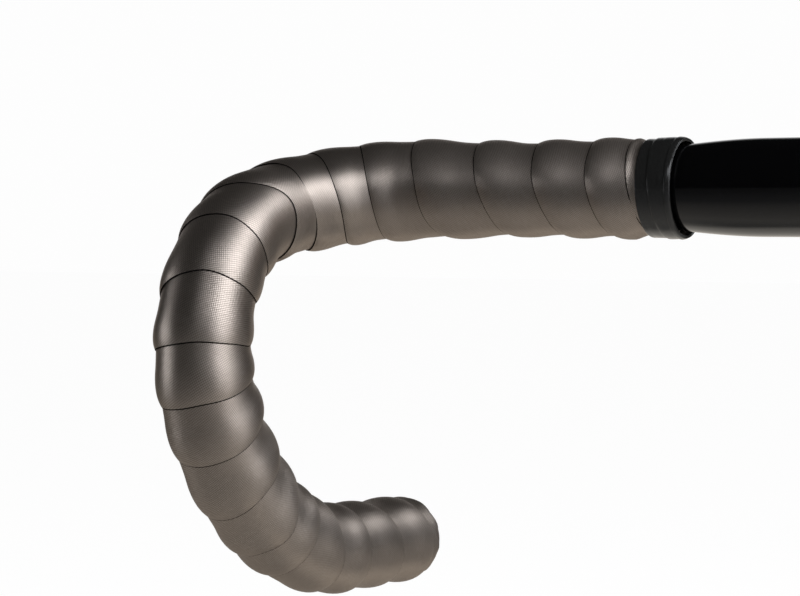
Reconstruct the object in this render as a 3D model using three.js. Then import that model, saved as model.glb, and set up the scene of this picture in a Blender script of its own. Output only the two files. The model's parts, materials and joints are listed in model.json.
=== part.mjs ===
// A drop handlebar of a road bicycle, wrapped with cushioned bar tape. One bent tube carries a tape wound
// from each bar end up to the tops, where black finishing tape holds it down. A plug in each bar end
// holds the tape's tucked start.
//
// Millimetres. The origin is the middle of the tube where the stem clamps it: +X to the rider's left,
// -Y forward, +Z up. Every piece is modelled straight, along X, and is then bent to the bar's line.
import * as THREE from "three";
import { LoftGeometry } from "three/addons/geometries/LoftGeometry.js";
import { mergeVertices } from "three/addons/utils/BufferGeometryUtils.js";

// The tube. Its widths and radii of bend are to the middle of the tube.
const clampDiameter = 31.8;
const clampWidth = 90;
const taperLength = 60;
const gripDiameter = 23.8;
const tubeWall = 1.8;
const barWidth = 420;
const cornerRadius = 43;
const rampFall = THREE.MathUtils.degToRad(12);
const hookRadius = 44.5;
const hookTurn = THREE.MathUtils.degToRad(101);
const dropRadius = 99;
const dropTurn = THREE.MathUtils.degToRad(63.5);
const endLength = 50;

// The bar tape: a strip wound in lapped turns, each turn over the edge of the one nearer the bar end.
const tapeWidth = 30;
const tapeThickness = 3.7;
const usualPitch = 19;
const lipHeight = 0.45;
const lapRise = 1.15;
const tapeTop = 77;
const foldThickness = 2;
const tuckDepth = 9;
const tuckThickness = 0.9;

// The finishing tape over the top end of the bar tape: two visible bands, and a rim that rolls in towards the
// tube without touching it.
const finishTop = 72.5;
const finishWidth = 12;
const finishAdvance = 3;
const finishThickness = 0.5;
const finishSeatRadius = 15.9;
const finishBand = 3.5;
const finishCrest = 0.3;
const rimLength = 4;
const rimThickness = 0.6;
const rimLift = 1.1;

// The bar-end plug: a domed cap on a ribbed, hollow stem.
const capRadius = 14.4;
const capEdge = 1.4;
const capDome = 1.8;
const stemLength = 24;
const stemWall = 1.6;
const ribHeight = 0.6;
const ribPitch = 5;
const ribCount = 3;

// How far apart two pieces lie where one seats on the other.
const seatGap = 0.3;

// Facets round the bar, and along each bend.
const sides = 16;
const cornerSteps = 7;
const hookSteps = 7;
const dropSteps = 6;
const taperSteps = 5;

const gripRadius = gripDiameter / 2;
const clampRadius = clampDiameter / 2;

// The bar's line, from the middle of the clamp outwards: stretches that are straight or bend about an axis.
// Each bend's inside is given as a share of a turn round the bar, from the top forward and down.
const topsLength = barWidth / 2 - cornerRadius;
const cornerAxis = new THREE.Vector3(0, Math.sin(rampFall), -Math.cos(rampFall));
const hookAxis = new THREE.Vector3(1, 0, 0);
const rampTurns = rampFall / (2 * Math.PI);
const cornerInside = 0.25 + rampTurns;
const hookInside = 0.5 + rampTurns;
const stretches = [
  { length: topsLength, turn: 0 },
  { length: cornerRadius * Math.PI / 2, turn: Math.PI / 2, axis: cornerAxis, inside: cornerInside },
  { length: hookRadius * hookTurn, turn: hookTurn, axis: hookAxis, inside: hookInside },
  { length: dropRadius * dropTurn, turn: dropTurn, axis: hookAxis, inside: hookInside },
  { length: endLength, turn: 0 },
];
const stretchStarts = [];
let barLength = 0;
for (const stretch of stretches) {
  stretchStarts.push(barLength);
  barLength += stretch.length;
}
const [, cornerStart, hookStart, dropStart, endStart] = stretchStarts;

// The point of the bar's line this far from the clamp, and the directions that ahead, back and up turn into there.
function barLineAt(along) {
  const point = new THREE.Vector3();
  const turned = new THREE.Quaternion();
  const ahead = new THREE.Vector3(1, 0, 0);
  let left = along;
  for (const [i, stretch] of stretches.entries()) {
    const last = i === stretches.length - 1;
    const part = last ? left : Math.min(left, stretch.length);
    if (stretch.turn) {
      const radius = stretch.length / stretch.turn;
      const centre = stretch.axis.clone().cross(ahead).multiplyScalar(radius);
      const swing = new THREE.Quaternion().setFromAxisAngle(stretch.axis, part / radius);
      point.add(centre).sub(centre.applyQuaternion(swing));
      ahead.applyQuaternion(swing);
      turned.premultiply(swing);
    } else {
      point.addScaledVector(ahead, part);
    }
    left -= part;
    if (left <= 0) break;
  }
  return {
    point,
    back: new THREE.Vector3(0, 1, 0).applyQuaternion(turned),
    up: new THREE.Vector3(0, 0, 1).applyQuaternion(turned),
  };
}

// Bends what was modelled straight to the bar's line. The half at negative X is the mirror image.
function bendToBar(geometry) {
  const position = geometry.attributes.position;
  for (let i = 0; i < position.count; i++) {
    const along = position.getX(i);
    const { point, back, up } = barLineAt(Math.abs(along));
    point.addScaledVector(back, position.getY(i)).addScaledVector(up, position.getZ(i));
    position.setXYZ(i, along < 0 ? -point.x : point.x, point.y, point.z);
  }
  geometry.computeVertexNormals();
  return geometry;
}

// Shares the vertices that meet, and drops the faces that this closes up.
function closeUp(geometry) {
  const plain = new THREE.BufferGeometry().copy(geometry);
  plain.deleteAttribute("normal");
  plain.deleteAttribute("uv");
  const closed = mergeVertices(plain, 1e-3);
  const corners = Array.from(closed.index.array);
  const kept = [];
  for (let i = 0; i < corners.length; i += 3) {
    const [a, b, c] = corners.slice(i, i + 3);
    if (a !== b && b !== c && c !== a) kept.push(a, b, c);
  }
  closed.setIndex(kept);
  return closed;
}

// A closed body round the X axis. Each row is one trip round it: row(turn) gives the place along the bar and
// the radius there, as turn goes from 0, on top, forward and down to 1. The rows run outwards over the
// outside of the body and back through its inside.
function bodyRound(rows) {
  const sections = rows.map((row) => {
    const points = [];
    for (let i = 0; i <= sides; i++) {
      const { along, radius } = row(i / sides);
      const angle = Math.PI / 2 + 2 * Math.PI * (i % sides) / sides;
      points.push(new THREE.Vector3(along, radius * Math.cos(angle), radius * Math.sin(angle)));
    }
    return points;
  });
  sections.push(sections[0]);
  return closeUp(new LoftGeometry(sections, { closed: false }));
}

const ring = (along, radius) => () => ({ along, radius });

// Places along one half of the bar where its surface needs a ring of corners.
function barStations() {
  const places = [];
  for (let i = 0; i <= taperSteps; i++) places.push(clampWidth / 2 + taperLength * i / taperSteps);
  for (const [start, length, steps] of [
    [cornerStart, stretches[1].length, cornerSteps],
    [hookStart, stretches[2].length, hookSteps],
    [dropStart, stretches[3].length, dropSteps],
  ]) {
    for (let i = 0; i < steps; i++) places.push(start + length * i / steps);
  }
  places.push(endStart);
  return places;
}

// The outside of the tube: full diameter in the clamp, then a soft taper to the diameter of the grips.
function tubeRadius(along) {
  const share = THREE.MathUtils.clamp((Math.abs(along) - clampWidth / 2) / taperLength, 0, 1);
  return clampRadius + (gripRadius - clampRadius) * (1 - Math.cos(Math.PI * share)) / 2;
}

function makeTube() {
  const half = [...barStations(), barLength];
  const places = [...half.map((along) => -along).reverse(), ...half];
  const outside = places.map((along) => ring(along, tubeRadius(along)));
  const bore = places.reverse().map((along) => ring(along, tubeRadius(along) - tubeWall));
  return bodyRound([...outside, ...bore]);
}

// The pitch that a hand gave the turns at places along the bar: close in the corner, wide before and after it.
const pitchStations = [
  [tapeTop, 22.5],
  [cornerStart - 57, 15.6],
  [cornerStart - 20, 26],
  [cornerStart + 5, 21],
  [(cornerStart + hookStart) / 2, 14.8],
  [hookStart + 5, 20.8],
  [hookStart + 35, 17.2],
  [dropStart, 15.2],
  [dropStart + 35, 18.4],
  [endStart - 10, 20.1],
  [endStart + 20, 22.5],
];

function pitchAt(along) {
  const next = pitchStations.findIndex(([place]) => place > along);
  if (next < 0) return pitchStations.at(-1)[1];
  if (next === 0) return pitchStations[0][1];
  const [before, beforePitch] = pitchStations[next - 1];
  const [after, afterPitch] = pitchStations[next];
  return THREE.MathUtils.mapLinear(along, before, after, beforePitch, afterPitch);
}

// Where the tape's visible edge lies on top after each sixteenth of a turn, from the first edge outwards.
const firstEdge = 108.1;
const edgesPerTurn = 16;
const edgePlaces = [firstEdge];
while (edgePlaces.at(-1) < barLength + 3 * usualPitch) {
  edgePlaces.push(edgePlaces.at(-1) + pitchAt(edgePlaces.at(-1)) / edgesPerTurn);
}

function edgeAt(turns) {
  const place = turns * edgesPerTurn;
  if (place < 0) return firstEdge + turns * pitchStations[0][1];
  const whole = Math.min(Math.floor(place), edgePlaces.length - 2);
  return THREE.MathUtils.lerp(edgePlaces[whole], edgePlaces[whole + 1], place - whole);
}

// No turn is laid quite as the last: how far out each one's visible edge is slewed where the bar faces the rider's
// thumb, from the first turn at the tops to the last at the bar end. It is slewed inwards on the other side.
const turnSlews = [0.2, -1.8, -0.5, -1, 1.8, -1.4, 0.5, -0.6, 7, 2.8, 3.3, 2.5, 1.4, -0.5, -1.7, 6.3, 0.6, 0.8, 1, 1];
const thumbSide = 0.39;
function laySlew(turns, turn) {
  const place = THREE.MathUtils.clamp(turns + 0.25, 0, turnSlews.length - 1);
  const whole = Math.min(Math.floor(place), turnSlews.length - 2);
  const most = THREE.MathUtils.lerp(turnSlews[whole], turnSlews[whole + 1], place - whole);
  return most * Math.cos(2 * Math.PI * (turn - thumbSide));
}

// How much closer the turns crowd at this place round the bar: above 0 on the inside of a bend, below outside.
const crowdFade = 12;
function crowding(along, turn) {
  let crowd = 0;
  for (const [i, stretch] of stretches.entries()) {
    if (!stretch.turn) continue;
    const [start, end] = [stretchStarts[i], stretchStarts[i] + stretch.length];
    const into = THREE.MathUtils.smoothstep(along, start - crowdFade, start + crowdFade);
    const outOf = THREE.MathUtils.smoothstep(along, end - crowdFade, end + crowdFade);
    const most = (gripRadius + tapeThickness) * stretch.turn / stretch.length;
    crowd += (into - outOf) * most * Math.cos(2 * Math.PI * (turn - stretch.inside));
  }
  return crowd;
}

// The most that the bar tape's outside may be: pressed down under the finishing tape, rounded at the bar end.
const tapeEnd = barLength + seatGap + foldThickness;
const pressRun = 5;
function tapeLimit(along) {
  const pressed = finishSeatRadius - seatGap;
  const full = gripRadius + tapeThickness + 2 * lapRise;
  const pressedTo = finishTop + finishWidth + 3.5 * finishAdvance;
  const atTop = THREE.MathUtils.mapLinear(along, pressedTo, firstEdge - pressRun, pressed, full);
  const reach = THREE.MathUtils.clamp(1 - (tapeEnd - along) / (2 * foldThickness), 0, 1);
  const atEnd = THREE.MathUtils.lerp(full, capRadius, reach * reach);
  return Math.min(THREE.MathUtils.clamp(atTop, pressed, full), atEnd);
}

function makeTape() {
  // One turn's outside, outwards from the foot of the turn above it: how far through the turn, and how high.
  const lap = (tapeWidth - usualPitch) / usualPitch;
  const turnProfile = [
    { share: 0, rise: 0 },
    { share: 1 - 0.4 * lap, rise: lapRise },
    { share: 1, rise: lipHeight },
  ];
  const windingRow = (turns, rise) => (turn) => {
    const edge = edgeAt(turns - turn);
    const along = THREE.MathUtils.clamp(edge + laySlew(turns - turn, turn), tapeTop, tapeEnd);
    const held = along === tapeTop || along === tapeEnd;
    const lying = tubeRadius(along) + tapeThickness + rise / (1 - crowding(edge, turn));
    return { along, radius: held ? tapeLimit(along) : Math.min(lying, tapeLimit(along)) };
  };
  const outside = [];
  for (let turns = -3; edgeAt(turns - 2) < tapeEnd; turns++) {
    for (const { share, rise } of turnProfile) outside.push(windingRow(turns + share, rise));
  }

  // The inside: into the bar's end, where the tape is tucked, and back along the tube.
  const boreRadius = gripRadius - tubeWall;
  const tuckOuter = boreRadius - seatGap;
  const inside = [
    ring(tapeEnd, tuckOuter - tuckThickness),
    ring(barLength - tuckDepth, tuckOuter - tuckThickness),
    ring(barLength - tuckDepth, tuckOuter),
    ring(barLength + seatGap, tuckOuter),
    ring(barLength + seatGap, gripRadius + seatGap),
  ];
  const covered = barStations().filter((along) => along > tapeTop);
  for (const along of covered.reverse()) inside.push(ring(along, tubeRadius(along) + seatGap));
  inside.push(ring(tapeTop, tubeRadius(tapeTop) + seatGap));
  return bodyRound([...outside, ...inside]);
}

function makeFinishingTape() {
  // The bands' edges advance round the bar, to the square-cut end of the strip.
  const band = (along, radius) => (turn) => ({
    along: along - finishAdvance * (turn % 1 - 0.5),
    radius,
  });
  const outerEdge = finishTop + finishWidth;
  const low = finishSeatRadius + finishThickness;
  const high = low + finishThickness;
  const rimRadius = tubeRadius(finishTop) + rimLift;
  const rimStart = finishTop + rimLength;
  return bodyRound([
    ring(finishTop, rimRadius + rimThickness),
    ring(finishTop + 0.4 * rimLength, high - 0.4),
    ring(rimStart, high + 0.5 * finishCrest),
    band(outerEdge - 1.7 * finishBand, high + finishCrest),
    band(outerEdge - finishBand, high),
    band(outerEdge - finishBand, low),
    band(outerEdge, low),
    band(outerEdge, finishSeatRadius),
    ring(rimStart, finishSeatRadius),
    ring(finishTop, rimRadius),
  ]);
}

// Profile from the cap's crown, round its edge, along the ribbed stem to its open end and back up its inside.
function makePlug() {
  const capBack = tapeEnd + seatGap;
  const stemRadius = gripRadius - tubeWall - 2 * seatGap - tuckThickness - ribHeight;
  const stemTip = capBack - stemLength;
  const boreRadius = stemRadius - stemWall;
  const profile = [
    [0, capBack + capEdge + capDome],
    [0.45 * capRadius, capBack + capEdge + 0.8 * capDome],
    [0.8 * capRadius, capBack + capEdge + 0.35 * capDome],
    [capRadius, capBack + 0.6 * capEdge],
    [capRadius, capBack],
    [stemRadius, capBack],
  ];
  for (let i = 0; i < ribCount; i++) {
    const rib = capBack - ribPitch * (i + 1);
    profile.push([stemRadius, rib + ribPitch / 2], [stemRadius + ribHeight, rib + ribPitch / 2]);
    profile.push([stemRadius, rib]);
  }
  profile.push([stemRadius, stemTip + ribPitch / 2], [stemRadius - stemWall / 2, stemTip]);
  profile.push([boreRadius, stemTip], [boreRadius, capBack - stemWall], [0, capBack - stemWall]);
  const outline = profile.map(([radius, along]) => new THREE.Vector2(radius, along)).reverse();
  const plug = new THREE.LatheGeometry(outline, sides).rotateZ(-Math.PI / 2);
  return closeUp(plug);
}

const barPaint = new THREE.MeshStandardMaterial({ color: 0x08080a, roughness: 0.12, metalness: 0.2 });
const tapeBronze = new THREE.MeshStandardMaterial({ color: 0x6e635b, roughness: 0.42, metalness: 0.65 });
const finishVinyl = new THREE.MeshStandardMaterial({ color: 0x121213, roughness: 0.28, metalness: 0 });
const plugPlastic = new THREE.MeshStandardMaterial({ color: 0x151515, roughness: 0.5, metalness: 0 });

const handlebar = new THREE.Group();

function addPiece(name, geometry, material) {
  const piece = new THREE.Mesh(geometry, material);
  piece.name = name;
  handlebar.add(piece);
  return piece;
}

// Adds a piece on the rider's left, and its mirror image on the right.
function addPair(name, geometry, material) {
  addPiece(`${name}_left`, geometry, material);
  addPiece(`${name}_right`, geometry, material).scale.x = -1;
}

addPiece("bar_tube", bendToBar(makeTube()), barPaint);
addPair("bar_tape", bendToBar(makeTape()), tapeBronze);
addPair("finishing_tape", bendToBar(makeFinishingTape()), finishVinyl);
addPair("end_plug", bendToBar(makePlug()), plugPlastic);

export default handlebar;
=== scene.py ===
import json
import math

import bpy
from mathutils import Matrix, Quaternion, Vector

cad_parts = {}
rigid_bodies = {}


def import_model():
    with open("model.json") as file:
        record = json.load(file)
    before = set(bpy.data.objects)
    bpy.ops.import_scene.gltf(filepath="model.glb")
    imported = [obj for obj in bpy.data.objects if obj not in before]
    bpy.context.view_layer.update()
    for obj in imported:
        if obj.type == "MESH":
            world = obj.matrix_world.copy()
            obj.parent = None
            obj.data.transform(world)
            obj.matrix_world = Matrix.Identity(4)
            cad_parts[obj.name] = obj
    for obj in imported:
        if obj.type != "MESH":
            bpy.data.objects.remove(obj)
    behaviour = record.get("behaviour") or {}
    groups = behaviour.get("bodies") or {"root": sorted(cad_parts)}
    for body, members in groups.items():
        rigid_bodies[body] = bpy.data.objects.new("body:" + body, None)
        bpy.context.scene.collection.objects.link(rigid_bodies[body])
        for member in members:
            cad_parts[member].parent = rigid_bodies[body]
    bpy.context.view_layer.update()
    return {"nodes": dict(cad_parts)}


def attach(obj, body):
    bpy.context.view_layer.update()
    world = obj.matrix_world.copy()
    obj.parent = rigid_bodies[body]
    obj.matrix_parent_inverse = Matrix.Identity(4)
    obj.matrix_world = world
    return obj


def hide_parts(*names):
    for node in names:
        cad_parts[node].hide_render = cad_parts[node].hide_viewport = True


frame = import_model()

bl_info = {
    "name": "Taped Drop Handlebar",
    "version": (1, 0, 0),
    "blender": (4, 5, 0),
    "location": "3D View > Sidebar > Handlebar",
    "description": "Makes a drop handlebar wound with bar tape, and the studio it is shown in",
    "category": "Object",
}

MM = 0.001
TURN = 2 * math.pi
UV_SCALE = 100  # UV maps are laid in centimetres.
FOLD_WALL = 0.9 * MM  # Thickness of the tape that is tucked into the bore.
SIDES = (("left", 1.0), ("right", -1.0))


# Sizes and colours that a user would change.


def length(name, description, default):
    return bpy.props.FloatProperty(
        name=name, description=description, default=default * MM, min=0, precision=4,
        subtype="DISTANCE", unit="LENGTH")


def angle(name, description, default):
    return bpy.props.FloatProperty(
        name=name, description=description, default=math.radians(default),
        subtype="ANGLE", unit="ROTATION")


def share(name, description, default):
    return bpy.props.FloatProperty(
        name=name, description=description, default=default, min=0, max=1, subtype="FACTOR")


def colour(name, description, default):
    return bpy.props.FloatVectorProperty(
        name=name, description=description, default=default, size=3, min=0, max=1, subtype="COLOR")


class BarSizes(bpy.types.PropertyGroup):
    clamp_diameter: length("Clamp Diameter", "Diameter of the tube where the stem clamps it", 31.8)
    clamp_width: length("Clamp Width", "Length of the tube's thick middle", 90)
    taper_length: length("Taper Length", "Length from the thick middle to the grip diameter", 60)
    grip_diameter: length("Grip Diameter", "Diameter of the tube under the tape", 23.8)
    wall: length("Wall", "Thickness of the tube's wall", 1.8)
    width: length("Width", "Distance between the middles of the two bar ends", 420)
    corner_radius: length("Corner Radius", "Radius of the bend from the tops to the ramp", 43)
    ramp_fall: angle("Ramp Fall", "How far the ramp points down", 12)
    hook_radius: length("Hook Radius", "Radius of the hook's bend", 44.5)
    hook_turn: angle("Hook Turn", "Angle of the hook's bend", 101)
    drop_radius: length("Drop Radius", "Radius of the bend into the drop", 99)
    drop_turn: angle("Drop Turn", "Angle of the bend into the drop", 63.5)
    end_length: length("End Length", "Length of the straight end", 50)
    tube_sides: bpy.props.IntProperty(name="Tube Sides", description="Facets round the tube", default=64, min=8)


class BarTapeSizes(bpy.types.PropertyGroup):
    thickness: length("Thickness", "How far a turn's low side lies above the tube", 3.7)
    lip: length("Lip", "Height of the visible edge over the turn that it laps", 0.32)
    crest: length("Crest", "Height of a turn's crown over its low side", 1.15)
    top: length("Top End", "Where the tape ends under the finishing tape, from the middle of the bar", 77)
    level_from: length("Level From", "Nearer the middle of the bar than this, the tape lies as high as here", 108)
    unevenness: share("Unevenness", "How much of the hand's unevenness the turns keep, with 0 for smooth turns", 1)
    fold: length("Fold", "Thickness of the tape folded over the bar's end", 2)
    tuck: length("Tuck", "How deep the tape's start is tucked into the bar", 9)
    turn_steps: bpy.props.IntProperty(name="Turn Steps", description="Facets round each turn", default=72, min=16)


class FinishSizes(bpy.types.PropertyGroup):
    inner_end: length("Inner End", "Where the rim lies, from the middle of the bar", 72.5)
    outer_end: length("Outer End", "Where the outer edge lies on top, from the middle of the bar", 85.5)
    seat_radius: length("Seat Radius", "Radius on which the first turn lies", 15.8)
    ply: length("Ply", "Thickness of the finishing tape", 0.32)
    crown: length("Crown", "How far the tape swells over the end of the bar tape", 0.15)
    rim_lift: length("Rim Lift", "Gap between the rolled rim and the tube", 1.1)
    rim_length: length("Rim Length", "Length over which the rim rolls in", 5.5)


class PlugSizes(bpy.types.PropertyGroup):
    radius: length("Cap Radius", "Radius of the plug's cap", 14.4)
    edge: length("Cap Edge", "Thickness of the cap's edge", 1.4)
    dome: length("Cap Dome", "How far the cap is domed", 1.8)
    stem: length("Stem Length", "Length of the stem inside the bar", 24)
    stem_wall: length("Stem Wall", "Thickness of the stem's wall", 1.6)
    rib: length("Rib Height", "Height of the ribs that grip the bore", 0.6)
    gap: length("Gap", "Gap between the plug and what it seats on", 0.3)


class Finishes(bpy.types.PropertyGroup):
    tape: colour("Bar Tape", "Colour of the tape's metallic coat", (0.46, 0.4, 0.354))
    tape_shade: colour("Tape Shade", "Colour between the tape's threads", (0.2, 0.172, 0.15))
    tape_gloss: share("Tape Metal", "How metallic the tape's coat looks", 0.95)
    thread: length("Thread Pitch", "Distance between the tape's fine threads", 0.62)
    paint: colour("Bar Paint", "Colour of the tube's paint", (0.0012, 0.0012, 0.0014))
    vinyl: colour("Finishing Tape", "Colour of the vinyl finishing tape", (0.008, 0.008, 0.0078))
    plug: colour("End Plug", "Colour of the plugs' plastic", (0.014, 0.014, 0.014))


class StudioSizes(bpy.types.PropertyGroup):
    azimuth: angle("Azimuth", "Direction of the camera, from the front towards the rider's left", 28)
    elevation: angle("Elevation", "Height of the camera above the horizon", 2.2)
    distance: length("Distance", "Distance from the camera to the point it looks at", 705)
    focal_length: bpy.props.FloatProperty(
        name="Focal Length", description="Focal length of the lens on a 36 mm sensor, in mm", default=95.8, min=10)
    target: bpy.props.FloatVectorProperty(
        name="Target", description="Point that the camera looks at", size=3, subtype="TRANSLATION",
        unit="LENGTH", default=(-0.1591, -0.0365, -0.0363))
    floor_drop: length("Floor Drop", "How far below the clamp the floor lies", 420)
    floor: colour("Floor", "Colour of the floor", (0.9, 0.9, 0.9))


# The bar's line.


class BarLine:
    """The middle line of one half of the bar, from the clamp outwards, in stretches that are straight or bend."""

    def __init__(self, sizes):
        self.sizes = sizes
        corner_axis = Vector((0, math.sin(sizes.ramp_fall), -math.cos(sizes.ramp_fall)))
        hook_axis = Vector((1, 0, 0))
        tops = sizes.width / 2 - sizes.corner_radius
        self.stretches = [
            (tops, 0, None),
            (sizes.corner_radius * math.pi / 2, math.pi / 2, corner_axis),
            (sizes.hook_radius * sizes.hook_turn, sizes.hook_turn, hook_axis),
            (sizes.drop_radius * sizes.drop_turn, sizes.drop_turn, hook_axis),
            (sizes.end_length, 0, None),
        ]
        self.starts = [0]
        for long, _, _ in self.stretches:
            self.starts.append(self.starts[-1] + long)
        self.length = self.starts.pop()

    def at(self, along):
        """The point this far along, the directions that ahead and up turn into, and how the bar bends there."""
        point = Vector((0, 0, 0))
        ahead = Vector((1, 0, 0))
        up = Vector((0, 0, 1))
        left = along
        for place, (long, turn, axis) in enumerate(self.stretches):
            last = place == len(self.stretches) - 1
            part = left if last else min(left, long)
            if turn:
                radius = long / turn
                centre = axis.cross(ahead) * radius
                swing = Quaternion(axis, part / radius)
                point = point + centre - swing @ centre
                ahead = swing @ ahead
                up = swing @ up
            else:
                point = point + ahead * part
            left -= part
            if left <= 0:
                break
        bend = Vector((0, 0, 0))
        fade = 12 * MM
        for start, (long, turn, axis) in zip(self.starts, self.stretches):
            if turn:
                inside = ease(along, start - fade, start + fade) - ease(along, start + long - fade, start + long + fade)
                bend += axis.cross(ahead) * inside * turn / long
        return point, ahead, up, bend

    def tube_radius(self, along):
        """Full in the clamp, then a soft taper to the grips."""
        sizes = self.sizes
        part = (abs(along) - sizes.clamp_width / 2) / sizes.taper_length
        part = min(max(part, 0), 1)
        narrowing = (sizes.clamp_diameter - sizes.grip_diameter) / 2
        return sizes.clamp_diameter / 2 - narrowing * (1 - math.cos(math.pi * part)) / 2


def ease(value, low, high):
    part = min(max((value - low) / (high - low), 0), 1)
    return part * part * (3 - 2 * part)


def blend(value, low, high, from_, to):
    part = min(max((value - low) / (high - low), 0), 1)
    return from_ + (to - from_) * part


def guide(name, points, **facts):
    """A chain of points that a node tree reads, with named facts at each point."""
    mesh = bpy.data.meshes.new(name)
    mesh.from_pydata(points, [(i, i + 1) for i in range(len(points) - 1)], [])
    for fact, values in facts.items():
        vector = hasattr(values[0], "__len__")
        layer = mesh.attributes.new(fact, "FLOAT_VECTOR" if vector else "FLOAT", "POINT")
        if vector:
            layer.data.foreach_set("vector", [number for value in values for number in value])
        else:
            layer.data.foreach_set("value", values)
    return bpy.data.objects.new(name, mesh)


def bar_guide(line, seat, room, step=1 * MM):
    """The bar's line a little past its end, with the radius that tape is seated on and the most that it may reach."""
    reach = line.length + 8 * MM
    count = math.ceil(reach / step)
    places = [reach * i / count for i in range(count + 1)]
    found = [line.at(place) for place in places]
    return guide(
        "bar_guide", [point for point, _, _, _ in found],
        up=[up for _, _, up, _ in found],
        bend=[bend for _, _, _, bend in found],
        sizes=[(seat(place), room(place), 0) for place in places])


# Node trees.


class Wire:
    """An output of a node. Sums written with wires add the nodes that work them out."""

    def __init__(self, sheet, socket):
        self.sheet = sheet
        self.socket = socket

    def __add__(self, other):
        return self.sheet.math("ADD", self, other)

    def __sub__(self, other):
        return self.sheet.math("SUBTRACT", self, other)

    def __rsub__(self, other):
        return self.sheet.math("SUBTRACT", other, self)

    def __mul__(self, other):
        return self.sheet.math("MULTIPLY", self, other)

    def __rmul__(self, other):
        return self.sheet.math("MULTIPLY", other, self)

    def __truediv__(self, other):
        return self.sheet.math("DIVIDE", self, other)


class Sheet:
    """A node tree that is filled one node at a time."""

    def __init__(self, tree):
        self.tree = tree

    def add(self, kind, *inputs, **settings):
        """Adds a node. Inputs are the values or wires of its first open sockets, or a dictionary by socket name."""
        node = self.tree.nodes.new(kind)
        named = settings.pop("sockets", {})
        for setting, value in settings.items():
            setattr(node, setting, value)
        open_sockets = [socket for socket in node.inputs if socket.enabled]
        for socket, value in zip(open_sockets, inputs):
            self.feed(socket, value)
        for name, value in named.items():
            self.feed(next(socket for socket in node.inputs if socket.enabled and socket.name == name), value)
        return node

    def feed(self, socket, value):
        if isinstance(value, Wire):
            self.tree.links.new(value.socket, socket)
        elif value is not None:
            socket.default_value = value

    def wire(self, node, output=0):
        """The wire from a node's output, counted or named."""
        shown = [socket for socket in node.outputs if socket.enabled]
        if isinstance(output, str):
            return Wire(self, next(socket for socket in shown if socket.name == output))
        return Wire(self, shown[output])

    def math(self, operation, *values):
        return self.wire(self.add("ShaderNodeMath", *values, operation=operation))

    def vector(self, operation, *values):
        return self.wire(self.add("ShaderNodeVectorMath", *values, operation=operation))

    def scaled(self, vector, by):
        return self.wire(self.add(
            "ShaderNodeVectorMath", operation="SCALE", sockets={"Vector": vector, "Scale": by}))

    def parts(self, vector):
        node = self.add("ShaderNodeSeparateXYZ", vector)
        return [self.wire(node, i) for i in range(3)]

    def joined(self, x, y, z):
        return self.wire(self.add("ShaderNodeCombineXYZ", x, y, z))


def new_tree(name, inputs, outputs):
    """A geometry node tree with named inputs and outputs, its sheet and the wires of its inputs."""
    tree = bpy.data.node_groups.new(name, "GeometryNodeTree")
    for socket, (kind, default, description) in inputs.items():
        made = tree.interface.new_socket(name=socket, in_out="INPUT", socket_type=kind, description=description)
        if default is not None:
            made.default_value = default
    for socket, kind in outputs.items():
        tree.interface.new_socket(name=socket, in_out="OUTPUT", socket_type=kind)
    sheet = Sheet(tree)
    entry = sheet.add("NodeGroupInput")
    return tree, sheet, {socket: sheet.wire(entry, socket) for socket in inputs}


def bar_place_group():
    """The group that finds a place by its distance along the bar and its share of a turn round it, from the top."""
    name = "Place on the Bar"
    if name in bpy.data.node_groups:
        return bpy.data.node_groups[name]
    tree, sheet, given = new_tree(
        name,
        {
            "Bar": ("NodeSocketGeometry", None, "The bar's guide"),
            "Along": ("NodeSocketFloat", 0.0, "Distance from the middle of the bar"),
            "Turn": ("NodeSocketFloat", 0.0, "Share of a turn from the top, forward and down"),
        },
        {output: "NodeSocketVector" for output in ("Middle", "Outward", "Bend", "Sizes")},
    )
    curve = sheet.wire(sheet.add("GeometryNodeMeshToCurve", given["Bar"]))
    along = sheet.math("ABSOLUTE", given["Along"])

    def fact(title):
        named = sheet.wire(sheet.add("GeometryNodeInputNamedAttribute", title, data_type="FLOAT_VECTOR"))
        return sheet.add(
            "GeometryNodeSampleCurve", data_type="FLOAT_VECTOR", mode="LENGTH",
            sockets={"Curves": curve, "Value": named, "Length": along})

    up_fact = fact("up")
    up = sheet.wire(up_fact, "Value")
    back = sheet.vector("CROSS_PRODUCT", up, sheet.wire(up_fact, "Tangent"))
    angle_round = given["Turn"] * TURN
    outward = sheet.vector(
        "SUBTRACT",
        sheet.scaled(up, sheet.math("COSINE", angle_round)),
        sheet.scaled(back, sheet.math("SINE", angle_round)))
    sheet.add(
        "NodeGroupOutput",
        sheet.wire(up_fact, "Position"), outward,
        sheet.wire(fact("bend"), "Value"), sheet.wire(fact("sizes"), "Value"))
    return tree


def place_on_bar(sheet, bar, along, turn):
    node = sheet.add("GeometryNodeGroup", node_tree=bar_place_group())
    for socket, value in zip(node.inputs, (bar, along, turn)):
        sheet.feed(socket, value)
    return [sheet.wire(node, i) for i in range(4)]


def rows_and_columns(sheet, rows, columns):
    """A grid of points, and each point's row and column."""
    grid = sheet.add(
        "GeometryNodeMeshGrid", sockets={"Vertices X": rows, "Vertices Y": columns})
    index = sheet.wire(sheet.add("GeometryNodeInputIndex"))
    row = sheet.math("FLOOR", (index + 0.5) / columns)
    return sheet.wire(grid), row, index - row * columns


def value_at(sheet, geometry, value, index, kind="FLOAT_VECTOR"):
    """A value of a guide's point, by the point's number."""
    return sheet.wire(sheet.add(
        "GeometryNodeSampleIndex", data_type=kind, clamp=True,
        sockets={"Geometry": geometry, "Value": value, "Index": index}))


def named_value(sheet, name, kind="FLOAT_VECTOR"):
    return sheet.wire(sheet.add("GeometryNodeInputNamedAttribute", name, data_type=kind))


def point_count(sheet, geometry):
    return sheet.wire(sheet.add("GeometryNodeAttributeDomainSize", geometry, component="MESH"), "Point Count")


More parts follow.
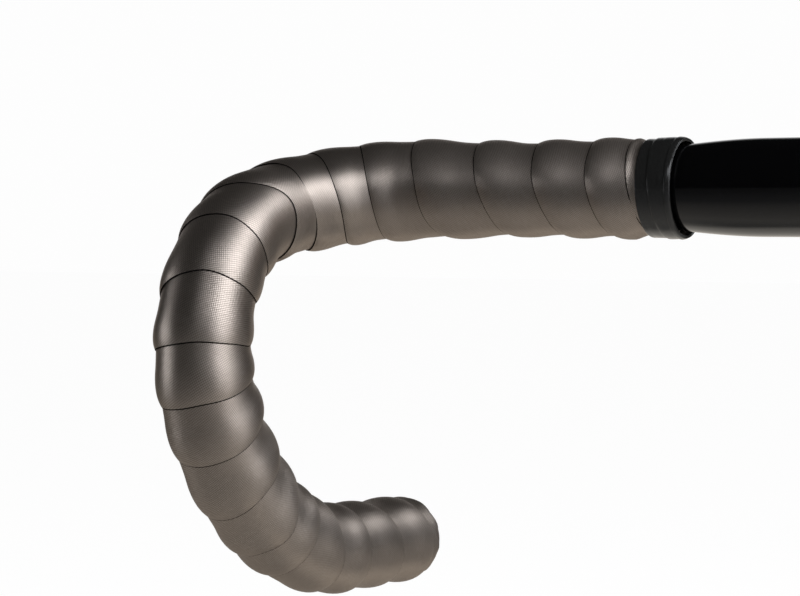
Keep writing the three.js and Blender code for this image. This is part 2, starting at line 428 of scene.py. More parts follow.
def placed_mesh(sheet, grid, spot, spread, given):
    """Moves the grid's points to their spots, lays its UV map, closes it and gives it its material."""
    x, y, z = sheet.parts(spot)
    moved = sheet.wire(sheet.add(
        "GeometryNodeSetPosition",
        sockets={"Geometry": grid, "Position": sheet.joined(x * given["Side"], y, z)}))
    spread = sheet.wire(sheet.add("GeometryNodeFieldOnDomain", spread, data_type="FLOAT_VECTOR", domain="POINT"))
    mapped = sheet.wire(sheet.add(
        "GeometryNodeStoreNamedAttribute", data_type="FLOAT2", domain="CORNER",
        sockets={"Geometry": moved, "Name": "UVMap", "Value": spread}))
    closed = sheet.wire(sheet.add(
        "GeometryNodeMergeByDistance", sockets={"Geometry": mapped, "Distance": 1e-7}))
    mirrored = sheet.wire(sheet.add("FunctionNodeCompare", given["Side"] * given["Face Out"], 0.0,
                                    data_type="FLOAT", operation="LESS_THAN"))
    turned = sheet.wire(sheet.add("GeometryNodeFlipFaces", closed, mirrored))
    smooth = sheet.wire(sheet.add("GeometryNodeSetShadeSmooth", sockets={"Geometry": turned}))
    real = sheet.wire(sheet.add("GeometryNodeRealizeInstances", smooth))
    sheet.add("NodeGroupOutput", sheet.wire(sheet.add(
        "GeometryNodeSetMaterial", sockets={"Geometry": real, "Material": given["Material"]})))


COMMON_INPUTS = {
    "Bar": ("NodeSocketObject", None, "The bar's guide"),
    "Side": ("NodeSocketFloat", 1.0, "1 on the rider's left, -1 on the right"),
    "Face Out": ("NodeSocketFloat", 1.0, "-1 turns the faces round"),
    "Material": ("NodeSocketMaterial", None, "The piece's finish"),
}


def object_geometry(sheet, given):
    return sheet.wire(sheet.add("GeometryNodeObjectInfo", given), "Geometry")


def winding_tree():
    """The tree that winds a strip on the bent bar. Its geometry is the winding's guide, with a point for each step."""
    name = "Strip Wound on a Bar"
    if name in bpy.data.node_groups:
        return bpy.data.node_groups[name]
    tree, sheet, given = new_tree(
        name,
        {
            "Winding": ("NodeSocketGeometry", None, "The winding's guide"),
            "Section": ("NodeSocketObject", None, "The strip's section: across it in pitches, and height"),
            "Lowest Place": ("NodeSocketFloat", 0.0, "The strip is cut off nearer the middle of the bar than this"),
            "Highest Place": ("NodeSocketFloat", 1.0, "The strip is held back at this place near the bar's end"),
            "Crowding": ("NodeSocketFloat", 0.0155, "Radius at which the turns crowd on the inside of a bend"),
            **COMMON_INPUTS,
        },
        {"Strip": "NodeSocketGeometry"},
    )
    bar = object_geometry(sheet, given["Bar"])
    section = object_geometry(sheet, given["Section"])
    winding = given["Winding"]
    around = point_count(sheet, section)
    columns = around + 1
    grid, row, column = rows_and_columns(sheet, point_count(sheet, winding), columns)

    # The step's facts: where its edge lies, its turn and its pitch; how high the strip lies and how open it is.
    edge, turn, pitch = sheet.parts(value_at(sheet, winding, named_value(sheet, "lay"), row))
    lift, open_, run = sheet.parts(value_at(sheet, winding, named_value(sheet, "form"), row))
    swell = value_at(sheet, winding, named_value(sheet, "swell", "FLOAT"), row, "FLOAT")

    # The section's point, drawn together at the strip's two ends.
    here = sheet.wire(sheet.add("GeometryNodeInputPosition"))
    column = sheet.math("FLOORED_MODULO", column, around)
    point = value_at(sheet, section, here, column)
    middle = sheet.wire(sheet.add(
        "GeometryNodeAttributeStatistic", data_type="FLOAT_VECTOR",
        sockets={"Geometry": section, "Attribute": here}), "Mean")
    drawn = sheet.vector("ADD", middle, sheet.scaled(sheet.vector("SUBTRACT", point, middle), open_))
    across, height, _ = sheet.parts(drawn)

    reach = across * pitch
    # Past a limit the strip is pressed nearly flat on it, but not quite, so that no two of its points meet.
    along = edge - reach
    lowest, highest = given["Lowest Place"], given["Highest Place"]
    along = sheet.math("MAXIMUM", along, lowest + (along - lowest) * 0.002)
    along = sheet.math("MINIMUM", along, highest + (along - highest) * 0.002)
    spine, outward, bend, sizes = place_on_bar(sheet, bar, along, turn)
    seat, room, _ = sheet.parts(sizes)
    crowd = sheet.wire(sheet.add("ShaderNodeVectorMath", outward, bend, operation="DOT_PRODUCT"), "Value")
    rise = height * swell / (1 - crowd * given["Crowding"])
    free = seat + lift + rise
    radius = sheet.math("MINIMUM", free, room + (free - room) * 0.01)
    spot = sheet.vector("ADD", spine, sheet.scaled(outward, radius))
    placed_mesh(sheet, grid, spot, sheet.joined(reach * UV_SCALE, run * UV_SCALE, 0), given)
    return tree


def turning_tree():
    """The tree that turns a profile round the bent bar's line. Its geometry is the profile: along, and radius."""
    name = "Profile Turned Round a Bar"
    if name in bpy.data.node_groups:
        return bpy.data.node_groups[name]
    tree, sheet, given = new_tree(
        name,
        {
            "Profile": ("NodeSocketGeometry", None, "The profile, outwards along the outside and back inside"),
            "Sides": ("NodeSocketInt", 64, "Facets round the bar"),
            **COMMON_INPUTS,
        },
        {"Piece": "NodeSocketGeometry"},
    )
    bar = object_geometry(sheet, given["Bar"])
    sides = given["Sides"]
    columns = sides + 1
    grid, row, column = rows_and_columns(sheet, point_count(sheet, given["Profile"]), columns)
    here = sheet.wire(sheet.add("GeometryNodeInputPosition"))
    along, radius, _ = sheet.parts(value_at(sheet, given["Profile"], here, row))
    turn = sheet.math("FLOORED_MODULO", column, sides) / sides
    spine, outward, _, _ = place_on_bar(sheet, bar, along, turn)
    spot = sheet.vector("ADD", spine, sheet.scaled(outward, radius))
    x, y, z = sheet.parts(spot)
    mirrored = sheet.joined(x * sheet.math("SIGN", along), y, z)
    spread = sheet.joined(column / sides * radius * TURN * UV_SCALE, along * UV_SCALE, 0)
    placed_mesh(sheet, grid, mirrored, spread, given)
    return tree


def run_tree(name, start, tree, values):
    """Runs a tree on a guide and keeps the result as a plain mesh object of that name."""
    bpy.context.scene.collection.objects.link(start)
    modifier = start.modifiers.new("Tree", "NODES")
    modifier.node_group = tree
    for socket in tree.interface.items_tree:
        if socket.item_type == "SOCKET" and socket.in_out == "INPUT" and socket.name in values:
            modifier[socket.identifier] = values[socket.name]
    bpy.context.view_layer.update()
    depsgraph = bpy.context.evaluated_depsgraph_get()
    mesh = bpy.data.meshes.new_from_object(
        start.evaluated_get(depsgraph), preserve_all_data_layers=True, depsgraph=depsgraph)
    start.modifiers.remove(modifier)
    bpy.data.objects.remove(start)
    if not mesh.polygons:
        raise RuntimeError(f"{name} came out empty")
    mesh.name = name
    piece = bpy.data.objects.new(name, mesh)
    bpy.context.scene.collection.objects.link(piece)
    return piece


def declare(piece, slot, *nodes):
    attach(piece, "root")
    if nodes:
        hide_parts(*nodes)


# Finishes.


def finish_sheet(name):
    material = bpy.data.materials.new(name)
    material.use_nodes = True
    tree = material.node_tree
    sheet = Sheet(tree)
    shader = next(node for node in tree.nodes if node.type == "BSDF_PRINCIPLED")
    return material, sheet, shader


def noise(sheet, where, scale, detail=2.0, roughness=0.5):
    return sheet.wire(sheet.add(
        "ShaderNodeTexNoise", sockets={"Vector": where, "Scale": scale, "Detail": detail, "Roughness": roughness}))


def ramp(sheet, value, low, high, from_=0.0, to=1.0):
    return sheet.wire(sheet.add("ShaderNodeMapRange", value, low, high, from_, to))


def mixed(sheet, share_, first, second):
    return sheet.wire(sheet.add(
        "ShaderNodeMix", data_type="RGBA", sockets={"Factor": share_, "A": first, "B": second}), "Result")


def bump(sheet, height, distance, strength=1.0, normal=None):
    return sheet.wire(sheet.add(
        "ShaderNodeBump", sockets={"Strength": strength, "Distance": distance, "Height": height, "Normal": normal}))


def tape_finish(finishes):
    """A woven strip with a satin metallic coat: fine threads along it, a twill slant, and a soft mottle."""
    material, sheet, shader = finish_sheet("bronze_bar_tape")
    laid = sheet.wire(sheet.add("ShaderNodeUVMap", uv_map="UVMap"))
    across, run, _ = sheet.parts(laid)
    spot = sheet.wire(sheet.add("ShaderNodeTexCoord"), "Object")
    threads = 10 * MM / finishes.thread

    # The threads run along the strip, and waver a little.
    waver = noise(sheet, sheet.joined(across * 1.5, run * 0.8, 0), 1.0, 2.0) * 0.5
    lines = sheet.math("SINE", (across * threads + run * 0.35 * threads + waver) * TURN)
    steps = sheet.math("SINE", (run * threads * 0.9 - across * 0.4 * threads + waver) * TURN)
    breaks = noise(sheet, sheet.joined(across * 14, run * 3.2, 0), 1.0, 3.0, 0.6)
    weave = lines * 0.55 + steps * 0.3 + breaks * 0.9

    mottle = noise(sheet, spot, 95.0, 4.0, 0.6)
    clouds = noise(sheet, spot, 28.0, 2.0)
    # Painted shade: a near-black line along each turn's visible edge, partly the bare cut edge and partly painted
    # shadow in the gap where the turn laps the one below.
    edge = ramp(sheet, across, 0.034, 0.05, 1.0, 0.0)

    depth = ramp(sheet, weave, -0.4, 1.5)
    coat = mixed(sheet, depth, (*finishes.tape_shade, 1), (*finishes.tape, 1))
    shaded = mixed(sheet, ramp(sheet, mottle, 0.3, 0.7, 0.0, 0.35), coat, (*[c * 0.62 for c in finishes.tape], 1))
    # The edge line, partly painted shade, is mixed into the coat's colour here.
    sheet.feed(shader.inputs["Base Color"], mixed(sheet, edge, shaded, (*[c * 0.03 for c in finishes.tape_shade], 1)))
    rough = ramp(sheet, weave, -0.4, 1.5, 0.44, 0.34) + ramp(sheet, clouds, 0.3, 0.7, -0.03, 0.03)
    sheet.feed(shader.inputs["Roughness"], rough + edge * 0.4)
    shader.inputs["Metallic"].default_value = finishes.tape_gloss
    # The threads lie along the strip, so that they spread light across it.
    shader.inputs["Anisotropic"].default_value = 0.66
    sheet.feed(shader.inputs["Tangent"], sheet.wire(sheet.add(
        "ShaderNodeTangent", direction_type="UV_MAP", uv_map="UVMap")))
    shader.inputs["Specular Tint"].default_value = (0.55, 0.52, 0.5, 1)
    fine = bump(sheet, weave, 0.05 * MM, 0.6)
    soft = bump(sheet, clouds, 0.5 * MM, 0.25, fine)
    sheet.feed(shader.inputs["Normal"], soft)
    return material


def paint_finish(finishes):
    """Deep gloss black paint with a faint ripple and specks of dust."""
    material, sheet, shader = finish_sheet("gloss_black_paint")
    spot = sheet.wire(sheet.add("ShaderNodeTexCoord"), "Object")
    ripple = noise(sheet, spot, 160.0, 2.0)
    cells = sheet.wire(sheet.add(
        "ShaderNodeTexVoronoi", feature="F1", sockets={"Vector": spot, "Scale": 420.0, "Randomness": 1.0}), "Distance")
    patches = noise(sheet, spot, 60.0, 2.0)
    dust = ramp(sheet, cells, 0.09, 0.05) * ramp(sheet, patches, 0.66, 0.7)
    sheet.feed(shader.inputs["Base Color"], mixed(
        sheet, dust, (*finishes.paint, 1), (*[c + 0.06 for c in finishes.paint], 1)))
    sheet.feed(shader.inputs["Roughness"], ramp(sheet, patches, 0.35, 0.7, 0.09, 0.13) + dust * 0.4)
    sheet.feed(shader.inputs["Normal"], bump(sheet, ripple, 0.05 * MM, 0.12))
    return material


def vinyl_finish(finishes):
    """Stretched black vinyl with faint creases along it."""
    material, sheet, shader = finish_sheet("black_vinyl_tape")
    laid = sheet.wire(sheet.add("ShaderNodeUVMap", uv_map="UVMap"))
    across, run, _ = sheet.parts(laid)
    creases = noise(sheet, sheet.joined(across * 5.0, run * 0.5, 0), 1.0, 3.0, 0.55)
    grain = noise(sheet, sheet.joined(across * 60, run * 60, 0), 1.0, 2.0)
    tone = mixed(
        sheet, ramp(sheet, grain, 0.3, 0.7, 0.0, 0.5),
        (*finishes.vinyl, 1), (*[c * 1.5 for c in finishes.vinyl], 1))
    sheet.feed(shader.inputs["Base Color"], tone)
    sheet.feed(shader.inputs["Roughness"], ramp(sheet, creases, 0.3, 0.7, 0.16, 0.26))
    fine = bump(sheet, grain, 0.02 * MM, 0.3)
    sheet.feed(shader.inputs["Normal"], bump(sheet, creases, 0.35 * MM, 0.5, fine))
    return material


def plug_finish(finishes):
    """Moulded black plastic with a fine spark-eroded grain."""
    material, sheet, shader = finish_sheet("moulded_black_plastic")
    spot = sheet.wire(sheet.add("ShaderNodeTexCoord"), "Object")
    grain = noise(sheet, spot, 1800.0, 3.0, 0.6)
    tone = noise(sheet, spot, 120.0, 2.0)
    sheet.feed(shader.inputs["Base Color"], mixed(
        sheet, ramp(sheet, tone, 0.3, 0.7), (*finishes.plug, 1), (*[c * 1.7 for c in finishes.plug], 1)))
    sheet.feed(shader.inputs["Roughness"], ramp(sheet, tone, 0.3, 0.7, 0.42, 0.52))
    sheet.feed(shader.inputs["Normal"], bump(sheet, grain, 0.04 * MM, 0.4))
    return material


# The pieces.


class MakeTube(bpy.types.Operator):
    """Make the bent tube, with its bore"""
    bl_idname = "handlebar.make_tube"
    bl_label = "Tube"

    def execute(self, context):
        sizes = context.scene.bar_sizes
        line = BarLine(sizes)
        count = math.ceil(line.length / (2.5 * MM))
        places = [line.length * i / count for i in range(-count, count + 1)]
        chamfer = 0.3 * MM
        outside = [(place, line.tube_radius(place), 0) for place in places]
        outside[0] = (-line.length + chamfer, outside[0][1], 0)
        outside[-1] = (line.length - chamfer, outside[-1][1], 0)
        inside = [(place, line.tube_radius(place) - sizes.wall, 0) for place in reversed(places)]
        ends = sizes.grip_diameter / 2 - chamfer
        profile = [(-line.length, ends, 0), *outside, (line.length, ends, 0), *inside]
        profile.append(profile[0])
        guide_ = bar_guide(line, lambda place: 0, lambda place: 1)
        piece = run_tree("bar_tube_gloss", guide("profile", profile), turning_tree(), {
            "Bar": guide_, "Sides": sizes.tube_sides, "Side": 1.0, "Face Out": -1.0,
            "Material": paint_finish(context.scene.handlebar_finishes)})
        declare(piece, "bar_finish", "bar_tube")
        return {"FINISHED"}


# Where the visible edge of each turn lies along the bar, in mm, as a hand laid it: one row a turn, from under
# the finishing tape to past the bar's end, at these shares of a turn forward and down from the top.
TURN_SHARES = (0.72, 0.36, 0.22, 0.08)
TURN_PLACES = (
    (56, 65, 67.5, 70), (78, 85.3, 87.8, 89.6), (91.1, 99.2, 102.3, 103.3), (109.8, 117.3, 121.3, 123.3),
    (130.4, 137.9, 142.1, 145.4), (152, 162.1, 164.8, 169.6), (177.6, 186.6, 189.5, 190.4),
    (191.8, 204, 207.3, 207.3), (209.6, 220.3, 224.3, 223.8), (237.2, 238, 237.6, 244.4),
    (252.6, 261.3, 259, 258.4), (265.3, 276.5, 275.5, 275.2), (284.2, 293.8, 293.3, 293.1),
    (298.2, 306.5, 308.4, 308.9), (314, 322.7, 326, 327.4), (330.7, 342.6, 344.8, 348),
    (353.5, 361, 366.6, 366.8), (375, 379.9, 380.6, 382), (388.5, 397.7, 403, 406.5), (417, 420.1, 421.5, 424.5),
    (433.3, 443.1, 446.9, 450.6), (460, 467.8, 470.7, 473.6), (481.1, 488.7, 491.6, 494.5),
    (502, 509.5, 512.5, 515.5), (523, 530.5, 533.5, 536.5))
FIRST_ROW = -2
# Where the winding starts and stops, in turns.
WOUND_FROM, WOUND_TO = -1.45, 20.9

# How much the padding bunches or thins along the bar, in mm: most in the corner.
BUNCHING = (
    (90, 0.3), (110, 0), (130, -0.3), (150, 0.3), (170, 1.2), (200, 0.9), (220, 0.5), (250, 0), (300, -0.25),
    (350, -0.3), (380, -0.5), (410, -0.6), (470, -0.5))


def station_value(stations, place):
    """The value at this place, on straight lines between the stations."""
    for (low, before), (high, after) in zip(stations, stations[1:]):
        if place < high:
            return blend(place, low, high, before, after)
    return stations[-1][1]


def smooth_value(stations, place):
    """The value at this place, on a smooth curve through the stations."""
    last = len(stations) - 1
    i = max((k for k in range(last) if stations[k][0] <= place), default=0)

    def slope(k):
        (low, before), (high, after) = stations[max(k - 1, 0)], stations[min(k + 1, last)]
        return (after - before) / (high - low)

    (low, before), (high, after) = stations[i], stations[i + 1]
    wide = high - low
    part = min(max((place - low) / wide, 0), 1)
    rest = 1 - part
    return (
        before * rest * rest * (1 + 2 * part) + slope(i) * wide * part * rest * rest
        + after * part * part * (3 - 2 * part) - slope(i + 1) * wide * part * part * rest)


def turn_swell(line, place, turn):
    """How far the padding swells: it is pulled flat beside the hook, and folds up on the inside of the drop."""
    _, corner, _, drop, _ = line.starts
    beside = 0.5 + 0.5 * math.cos(TURN * (turn - 0.18))
    flat = ease(place, corner - 5 * MM, corner + 12 * MM) - ease(place, drop - 20 * MM, drop + 15 * MM)
    inside = 0.5 + 0.5 * math.cos(TURN * (turn - 0.45))
    folded = ease(place, drop - 15 * MM, drop + 15 * MM)
    return 1 - 0.5 * flat * beside ** 2 + 0.6 * folded * inside ** 2


def tape_winding(line, tape):
    """The guide of the bar tape's winding: from under the finishing tape out to past the bar's end."""
    laid = [
        (FIRST_ROW + row - share_, place * MM)
        for row, places in enumerate(TURN_PLACES) for share_, place in zip(TURN_SHARES, places)]
    steps = tape.turn_steps
    lay, form, swell = [], [], []
    wound = WOUND_FROM
    while wound < WOUND_TO:
        pitch = (smooth_value(laid, wound + 0.8) - smooth_value(laid, wound - 0.8)) / 1.6
        even = (smooth_value(laid, wound - 0.5) + smooth_value(laid, wound + 0.5)) / 2
        place = even + (smooth_value(laid, wound) - even) * tape.unevenness
        lay.append((place, -wound, pitch))
        form.append((0, 1, wound * TURN * 16 * MM))
        swell.append(turn_swell(line, place, -wound))
        wound += 1 / steps
    for end in (0, -1):
        form[end] = (form[end][0], 0, form[end][2])
    return guide("tape_winding", [(0, 0, 0)] * len(lay), lay=lay, form=form, swell=swell)


def tape_section(tape):
    """The strip's section: from its visible edge over its crown to where the next turn laps it, and back under."""
    lip, crest = tape.lip, tape.crest
    over = [
        (0.004, 0.4 * lip), (0.009, 0.75 * lip), (0.02, lip), (0.045, lip + 0.22 * (crest - lip)),
        (0.08, lip + 0.48 * (crest - lip)), (0.125, lip + 0.73 * (crest - lip)), (0.18, lip + 0.91 * (crest - lip)),
        (0.24, 0.99 * crest), (0.3, crest), (0.37, 0.95 * crest), (0.45, 0.83 * crest), (0.53, 0.64 * crest),
        (0.61, 0.42 * crest), (0.69, 0.23 * crest), (0.78, 0.09 * crest), (0.88, 0.01 * crest), (0.96, -0.02 * crest),
        (1.0, -0.05 * crest), (1.1, -0.12 * crest), (1.3, -0.24 * crest), (1.7, -0.4 * crest),
    ]
    under = [(1.7, -0.95 * MM), (1.2, -0.95 * MM), (0.8, -0.75 * MM), (0.5, -0.6 * MM), (0.3, -0.35 * MM),
             (0.15, -0.18 * MM), (0.05, -0.1 * MM), (0.008, 0.0)]
    return guide("tape_section", [(across, height, 0) for across, height in over + under])


class MakeBarTape(bpy.types.Operator):
    """Wind the bar tape on both sides, and tuck its start into the bar's ends"""
    bl_idname = "handlebar.make_bar_tape"
    bl_label = "Bar Tape"

    def execute(self, context):
        scene = context.scene
        line, tape, plug = BarLine(scene.bar_sizes), scene.bar_tape_sizes, scene.plug_sizes
        finishing = scene.finish_sizes
        gap = plug.gap
        end = line.length + gap + tape.fold
        full = scene.bar_sizes.grip_diameter / 2 + tape.thickness + 2 * tape.crest
        pressed = finishing.seat_radius - gap

        def room(place):
            free = blend(place, finishing.outer_end + 0.5 * MM, finishing.outer_end + 7 * MM, pressed, full)
            near = min(max(1 - (end - place) / (2.6 * tape.fold), 0), 1)
            rounded = plug.radius + (full - tape.crest - plug.radius) * math.sqrt(max(1 - near * near, 0))
            return min(free, rounded) if near > 0 else free

        def seat(place):
            bunch = station_value(BUNCHING, place / MM) * MM
            return line.tube_radius(max(place, tape.level_from)) + tape.thickness + bunch

        bar = bar_guide(line, seat, room, 0.5 * MM)
        finish = tape_finish(scene.handlebar_finishes)
        section = tape_section(tape)
        bore = scene.bar_sizes.grip_diameter / 2 - scene.bar_sizes.wall - gap
        inner = bore - FOLD_WALL
        fold = [
            (line.length - 12 * MM, plug.radius - 0.5 * MM, 0), (end - 0.6 * MM, plug.radius - 0.1 * MM, 0),
            (end, plug.radius - 0.7 * MM, 0), (end, inner + 0.6 * MM, 0), (end - 0.6 * MM, inner, 0),
            (line.length - tape.tuck, inner, 0), (line.length - tape.tuck, bore, 0), (line.length + gap, bore, 0),
            (line.length + gap, scene.bar_sizes.grip_diameter / 2 + gap, 0),
            (line.length - 12 * MM, scene.bar_sizes.grip_diameter / 2 + gap, 0),
        ]
        fold.append(fold[0])
        for side, sign in SIDES:
            wound = run_tree("wound_bar_tape_" + side, tape_winding(line, tape), winding_tree(), {
                "Section": section, "Lowest Place": tape.top, "Highest Place": end,
                "Crowding": 0.2 * (scene.bar_sizes.grip_diameter / 2 + tape.thickness),
                "Bar": bar, "Side": sign, "Face Out": 1.0, "Material": finish})
            declare(wound, "bar_tape", "bar_tape_" + side)
            tucked = run_tree("tucked_tape_end_" + side, guide("fold", fold), turning_tree(), {
                "Bar": bar, "Sides": 64, "Side": sign, "Face Out": -1.0, "Material": finish})
            declare(tucked, "bar_tape")
        return {"FINISHED"}


# How far in from its outer end the finishing tape's edge lies, in mm, after each part of a turn.
FINISH_LAY = (
    (0, -0.5), (0.35, 0.4), (0.56, 1.2), (0.76, 1.8), (1, 2.6), (1.3, 3.6), (1.42, 4.4), (1.51, 5.2), (1.69, 6.8),
    (1.8, 7.8), (2, 9.4), (2.3, 11), (2.95, 11.6))
FINISH_START = -0.3


def finish_winding(finishing, steps=96):
    """The guide of the finishing tape's winding: the second turn is laid aslant over the first."""
    lay, form = [], []
    count = round(FINISH_LAY[-1][0] * steps)
    for i in range(count + 1):
        wound = i / steps
        lay.append((finishing.outer_end - station_value(FINISH_LAY, wound) * MM, FINISH_START + wound, MM))
        last = i in (0, count)
        form.append((finishing.ply * wound, 0 if last else 1, wound * TURN * finishing.seat_radius))
    return guide("finish_winding", [(0, 0, 0)] * (count + 1), lay=lay, form=form, swell=[1] * (count + 1))


class MakeFinishingTape(bpy.types.Operator):
    """Wind the black finishing tape over the top ends of the bar tape"""
    bl_idname = "handlebar.make_finishing_tape"
    bl_label = "Finishing Tape"

    def execute(self, context):
        scene = context.scene
        line, finishing = BarLine(scene.bar_sizes), scene.finish_sizes

        def seat(place):
            rim = line.tube_radius(finishing.inner_end) + finishing.rim_lift
            swell = finishing.crown * ease(place, finishing.outer_end - 3 * MM, finishing.outer_end - 9 * MM)
            part = min(max((place - finishing.inner_end) / finishing.rim_length, 0), 1)
            return rim + (finishing.seat_radius + swell - rim) * math.sqrt(1 - (1 - part) ** 2)

        bar = bar_guide(line, seat, lambda place: 1, 0.25 * MM)
        ply = finishing.ply
        wide = 26
        over = [(0, 0.55 * ply), (0.06, 0.85 * ply), (0.2, ply)]
        over += [(0.2 + (wide - 0.2) * i / 40, ply) for i in range(1, 41)]
        under = [(wide - wide * i / 20, 0.08 * ply) for i in range(20)]
        section = guide("finish_section", [(across, height, 0) for across, height in over + under])
        finish = vinyl_finish(scene.handlebar_finishes)
        for side, sign in SIDES:
            piece = run_tree("wound_finishing_tape_" + side, finish_winding(finishing), winding_tree(), {
                "Section": section, "Lowest Place": finishing.inner_end, "Highest Place": 1.0,
                "Crowding": 0.0, "Bar": bar, "Side": sign, "Face Out": -1.0, "Material": finish})
            declare(piece, "finishing_tape", "finishing_tape_" + side)
        return {"FINISHED"}


class MakeEndPlugs(bpy.types.Operator):
    """Make the plugs that close the bar's ends"""
    bl_idname = "handlebar.make_end_plugs"
    bl_label = "End Plugs"

    def execute(self, context):
        scene = context.scene
        line, tape, plug = BarLine(scene.bar_sizes), scene.bar_tape_sizes, scene.plug_sizes
        back = line.length + 2 * plug.gap + tape.fold
        stem = scene.bar_sizes.grip_diameter / 2 - scene.bar_sizes.wall - 2 * plug.gap - FOLD_WALL - plug.rib
        bore = stem - plug.stem_wall
        face = back + plug.edge
        tip = back - plug.stem
        # From the middle of the domed face, which has a shallow groove, round the rim to the hollow stem.
        profile = []
        for i in range(16, -1, -1):
            round_ = i / 16
            radius = plug.radius - 0.15 * MM - (plug.radius - 0.15 * MM) * round_
            dome = plug.dome * (1 - (radius / plug.radius) ** 2.4)
            groove = 0.45 * MM * math.exp(-(((radius - 0.62 * plug.radius) / (0.7 * MM)) ** 2))
            profile.append((face - 0.45 * plug.edge + 0.45 * plug.edge * min(4 * round_, 1) + dome - groove, radius))
        profile += [(back + 0.35 * MM, plug.radius), (back, plug.radius - 0.35 * MM), (back, stem)]
        for i in range(1, 4):
            rib = back - 5 * MM * i
            profile += [
                (rib + 2.5 * MM, stem), (rib + 2.5 * MM, stem + plug.rib),
                (rib + 0.3 * MM, stem + plug.rib), (rib, stem)]
        profile += [(tip + 2.5 * MM, stem), (tip, stem - plug.stem_wall / 2), (tip, bore)]
        profile += [(back - plug.stem_wall, bore), (back - plug.stem_wall, 0)]
        finish = plug_finish(scene.handlebar_finishes)
        bar = bar_guide(line, lambda place: 0, lambda place: 1)
        for side, sign in SIDES:
            points = [(along, radius, 0) for along, radius in profile]
            piece = run_tree("domed_end_plug_" + side, guide("profile", points), turning_tree(), {
                "Bar": bar, "Sides": 72, "Side": sign, "Face Out": 1.0, "Material": finish})
            declare(piece, "plug", "end_plug_" + side)
        return {"FINISHED"}


# The studio.


# The soft lamps: name, azimuth and elevation in degrees, width and height in metres, and power in watts.
LAMPS = (
    ("large_soft_box", 79, 34, 0.95, 0.8, 11.5),
    ("back_soft_box", 124, 37, 1.1, 0.5, 5),
    ("low_soft_box", 79, 4, 0.9, 0.65, 5.4),
    ("upper_soft_box", 36, 36, 0.7, 0.4, 2.2),
    ("strip_light", -64, 0, 0.35, 0.5, 2.3),
)
LAMP_DISTANCE = 1.3
LAMP_COLOUR = (0.97, 1.0, 1.05)


def face_target(name, data, target, azimuth, elevation, distance):
    """A lamp or camera that faces the target from this direction, told from the front towards the rider's left."""
    away = Vector((
        math.sin(azimuth) * math.cos(elevation),
        -math.cos(azimuth) * math.cos(elevation),
        math.sin(elevation)))
    made = bpy.data.objects.new(name, data)
    made.location = target + away * distance
    made.rotation_euler = away.to_track_quat("Z", "Y").to_euler()
    bpy.context.scene.collection.objects.link(made)
    return made


# The way from the bar to the part of the white background that reflections show: behind it, seen by the camera.
BACK = (-0.469, 0.883)


def pale_world():
    """A world that is white behind the bar, dim elsewhere in reflections, and a plain grey to the object itself."""
    world = bpy.data.worlds.new("pale_studio")
    world.use_nodes = True
    tree = world.node_tree
    sheet = Sheet(tree)
    background = next(node for node in tree.nodes if node.type == "BACKGROUND")
    rays = sheet.add("ShaderNodeLightPath")
    direction = sheet.wire(sheet.add("ShaderNodeTexCoord"), "Generated")
    x, y, z = sheet.parts(direction)
    wall = ramp(sheet, x * BACK[0] + y * BACK[1], 0.8, 0.95)
    seen = wall * ramp(sheet, z, 0.55, 0.25) * 0.95 + 0.004
    straight = sheet.math("MAXIMUM", sheet.wire(rays, "Is Camera Ray"), sheet.wire(rays, "Is Transmission Ray"))
    glossy = sheet.wire(rays, "Is Glossy Ray")
    other = 0.45 * (1 - glossy) + glossy * seen
    background.inputs["Color"].default_value = (1, 1, 1, 1)
    sheet.feed(background.inputs["Strength"], straight * 0.985 + (1 - straight) * other)
    return world


def floor_finish(tone):
    """Pale floor that the camera sees as white, with the object's shadow on it. To reflections it glows unevenly: a
    painted light that fades with distance, a painted white wall behind the bar and a painted shadow near the drop.
    """
    material = bpy.data.materials.new("pale_floor")
    material.use_nodes = True
    tree = material.node_tree
    sheet = Sheet(tree)
    shader = next(node for node in tree.nodes if node.type == "BSDF_PRINCIPLED")
    shader.inputs["Base Color"].default_value = (*tone, 1)
    shader.inputs["Roughness"].default_value = 0.8
    shader.inputs["Specular IOR Level"].default_value = 0.1
    x, y, _ = sheet.parts(sheet.wire(sheet.add("ShaderNodeTexCoord"), "Object"))
    far = sheet.math("SQRT", x * x + y * y)
    # Painted reflection: the glow that reflections see on the floor. It is brighter towards the back, fades with
    # distance and is dimmer in a wedge towards the back right.
    reflected_floor_glow = ramp(sheet, x * 0.19 + y * 0.84, -0.6, 0.35, 0.03, 0.85) * ramp(sheet, far, 0.9, 1.7, 1.0, 0.35)
    reflected_floor_glow = reflected_floor_glow * ramp(sheet, (x * 0.34 + y * 0.94) / far, 0.6, 0.92, 1.0, 0.2)
    # Painted shadow: the glow is darkened round a spot beside the drop, where the bar's own shadow would fall.
    painted_shadow_distance = sheet.math("SQRT", (x + 0.2) * (x + 0.2) + (y - 0.1) * (y - 0.1))
    reflected_floor_glow = reflected_floor_glow * ramp(sheet, painted_shadow_distance, 0.03, 0.16, 0.35, 1.0)
    # Painted reflection of the white wall: the floor glows in the direction behind the bar.
    wall = ramp(sheet, (x * BACK[0] + y * BACK[1]) / far, 0.8, 0.95, 0.0, 0.9)
    rays = sheet.add("ShaderNodeLightPath")
    camera, glossy = sheet.wire(rays, "Is Camera Ray"), sheet.wire(rays, "Is Glossy Ray")
    # Camera rays see an even white glow. Glossy rays see the painted glow, tinted warm.
    glow = sheet.add("ShaderNodeEmission", sockets={
        "Color": mixed(sheet, glossy, (1, 1, 1, 1), (1, 0.93, 0.82, 1)),
        "Strength": camera * 1.08 + glossy * sheet.math("MAXIMUM", reflected_floor_glow, wall)})
    mix = sheet.add("ShaderNodeMixShader", sheet.math("MAXIMUM", camera, glossy) * 0.85)
    tree.links.new(shader.outputs[0], mix.inputs[1])
    tree.links.new(glow.outputs[0], mix.inputs[2])
    output = next(node for node in tree.nodes if node.type == "OUTPUT_MATERIAL")
    tree.links.new(mix.outputs[0], output.inputs["Surface"])
    return material


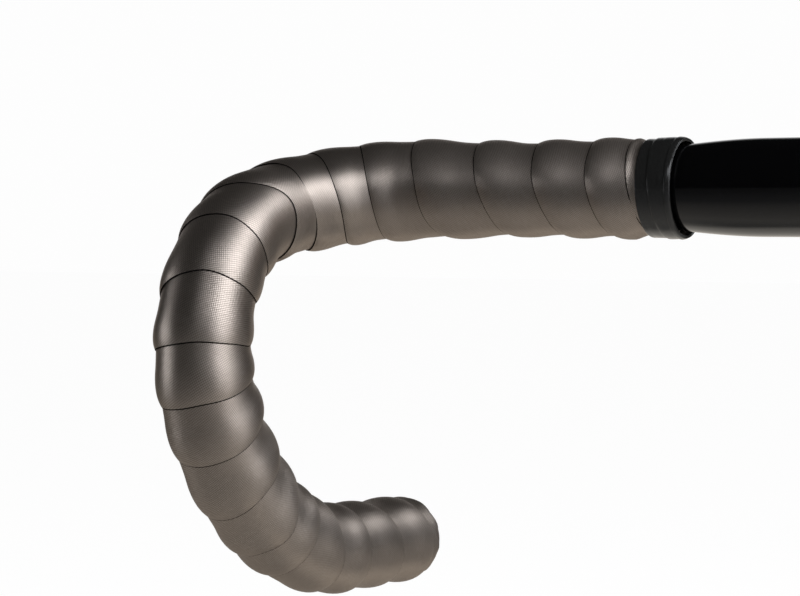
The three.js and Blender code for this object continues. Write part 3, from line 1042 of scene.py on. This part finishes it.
class MakeStudio(bpy.types.Operator):
    """Make the pale floor, the soft lamps and the camera"""
    bl_idname = "handlebar.make_studio"
    bl_label = "Studio"

    def execute(self, context):
        scene, studio = context.scene, context.scene.studio_sizes
        half = 12.0
        drop = -studio.floor_drop
        mesh = bpy.data.meshes.new("floor")
        corners = [(-half, -half, drop), (half, -half, drop), (half, half, drop), (-half, half, drop)]
        mesh.from_pydata(corners, [], [(0, 1, 2, 3)])
        floor = bpy.data.objects.new("floor", mesh)
        mesh.materials.append(floor_finish(studio.floor))
        scene.collection.objects.link(floor)
        scene.world = pale_world()

        target = Vector(studio.target)
        for name, azimuth, elevation, wide, high, power in LAMPS:
            data = bpy.data.lights.new(name, "AREA")
            data.shape = "RECTANGLE"
            data.size, data.size_y = wide, high
            data.energy = power
            data.color = LAMP_COLOUR
            face_target(name, data, target, math.radians(azimuth), math.radians(elevation), LAMP_DISTANCE)

        data = bpy.data.cameras.new("camera")
        data.lens = studio.focal_length
        data.sensor_width = 36
        data.clip_start, data.clip_end = 0.01, 100
        scene.camera = face_target("camera", data, target, studio.azimuth, studio.elevation, studio.distance)
        scene.view_settings.view_transform = "Standard"
        return {"FINISHED"}


MAKERS = (MakeTube, MakeBarTape, MakeFinishingTape, MakeEndPlugs, MakeStudio)


class HandlebarPanel(bpy.types.Panel):
    """Lists the handlebar's pieces and their sizes"""
    bl_idname = "VIEW3D_PT_taped_handlebar"
    bl_label = "Taped Drop Handlebar"
    bl_space_type = "VIEW_3D"
    bl_region_type = "UI"
    bl_category = "Handlebar"

    def draw(self, context):
        for maker, groups in (
            (MakeTube, ("bar_sizes",)),
            (MakeBarTape, ("bar_tape_sizes",)),
            (MakeFinishingTape, ("finish_sizes",)),
            (MakeEndPlugs, ("plug_sizes", "handlebar_finishes")),
            (MakeStudio, ("studio_sizes",)),
        ):
            box = self.layout.box()
            box.operator(maker.bl_idname)
            for group in groups:
                held = getattr(context.scene, group)
                for name in held.__annotations__:
                    box.prop(held, name)


GROUPS = {
    "bar_sizes": BarSizes,
    "bar_tape_sizes": BarTapeSizes,
    "finish_sizes": FinishSizes,
    "plug_sizes": PlugSizes,
    "handlebar_finishes": Finishes,
    "studio_sizes": StudioSizes,
}


def register():
    for cls in (*GROUPS.values(), *MAKERS, HandlebarPanel):
        bpy.utils.register_class(cls)
    for name, group in GROUPS.items():
        setattr(bpy.types.Scene, name, bpy.props.PointerProperty(type=group))


def unregister():
    for name in GROUPS:
        delattr(bpy.types.Scene, name)
    for cls in (HandlebarPanel, *reversed(MAKERS), *reversed(GROUPS.values())):
        bpy.utils.unregister_class(cls)


def main():
    register()
    bpy.ops.handlebar.make_tube()
    bpy.ops.handlebar.make_bar_tape()
    bpy.ops.handlebar.make_finishing_tape()
    bpy.ops.handlebar.make_end_plugs()
    bpy.ops.handlebar.make_studio()
    # The guides have done their work.
    for spare in list(bpy.data.objects):
        if not spare.users_scene and spare.type == "MESH" and spare.name not in frame["nodes"]:
            bpy.data.objects.remove(spare)


if __name__ == "__main__":
    main()
